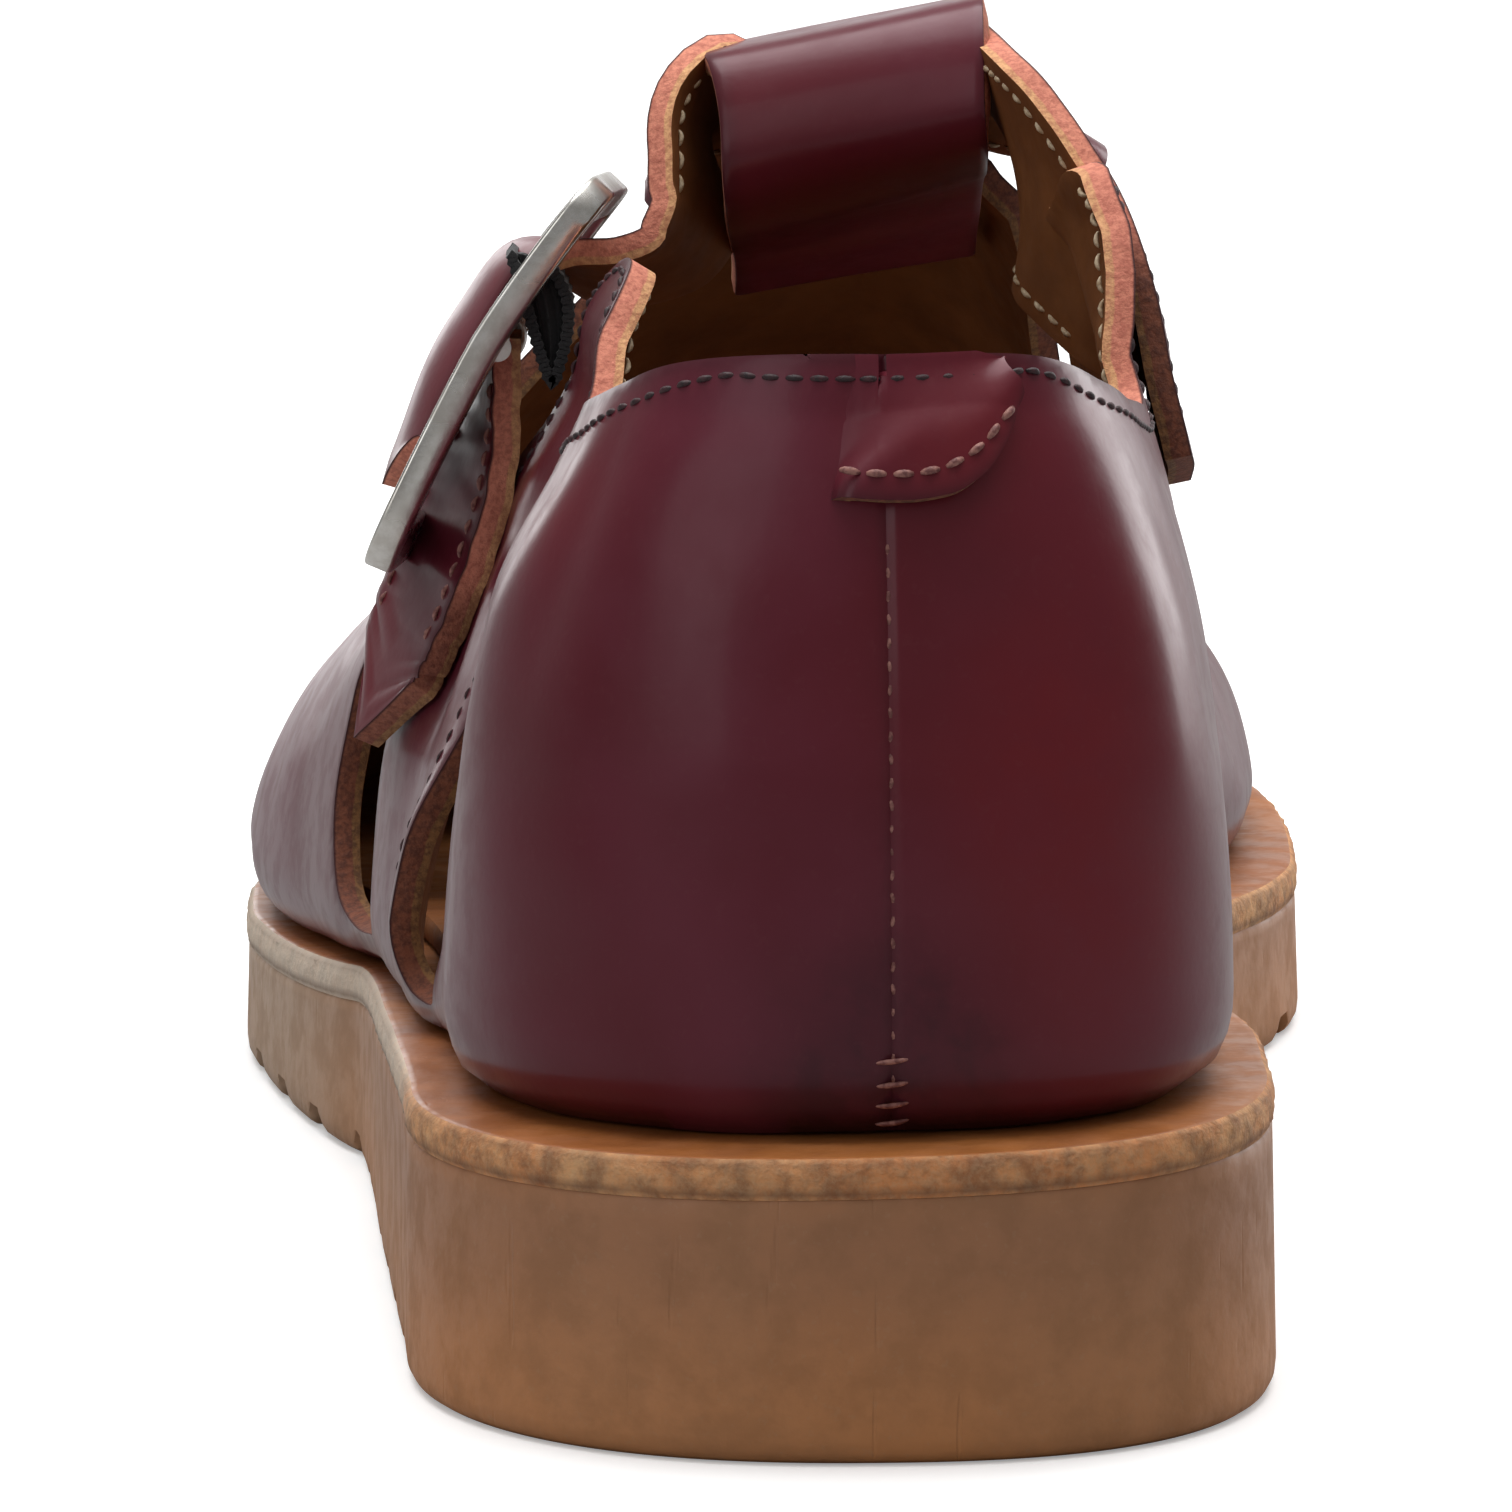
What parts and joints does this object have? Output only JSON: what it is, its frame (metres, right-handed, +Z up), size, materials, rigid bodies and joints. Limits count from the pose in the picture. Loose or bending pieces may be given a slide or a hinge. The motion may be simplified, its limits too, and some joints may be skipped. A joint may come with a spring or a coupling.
{
  "type": "sandal",
  "caption": "Closed-toe leather sandal for the left foot with a T-bar, buckled ankle strap, cut-outs at the sides and vamp, and a thick rubber wedge sole",
  "frame": {"origin": "middle of the shoe's box, on the floor under the sole", "axes": "+Y runs from the heel to the toe, +X to the inner side of the left foot, +Z up"},
  "size_m": [0.1085, 0.298, 0.1135],
  "materials": {
    "rubber": "matte",
    "midsole_leather": "matte",
    "lining_leather": "matte",
    "upper_leather": "polished",
    "buckle_metal": "polished",
    "black_elastic": "matte"
  },
  "bodies": {
    "root": {"outsole": "rubber", "midsole": "midsole_leather", "insole": "lining_leather", "upper": "upper_leather", "heel_tab": "upper_leather", "ankle_strap": "upper_leather", "tee_strap": "upper_leather", "chape_tab": "upper_leather", "buckle_frame": "buckle_metal", "prong": "buckle_metal", "elastic_loop": "black_elastic"}
  },
  "joints": []
}
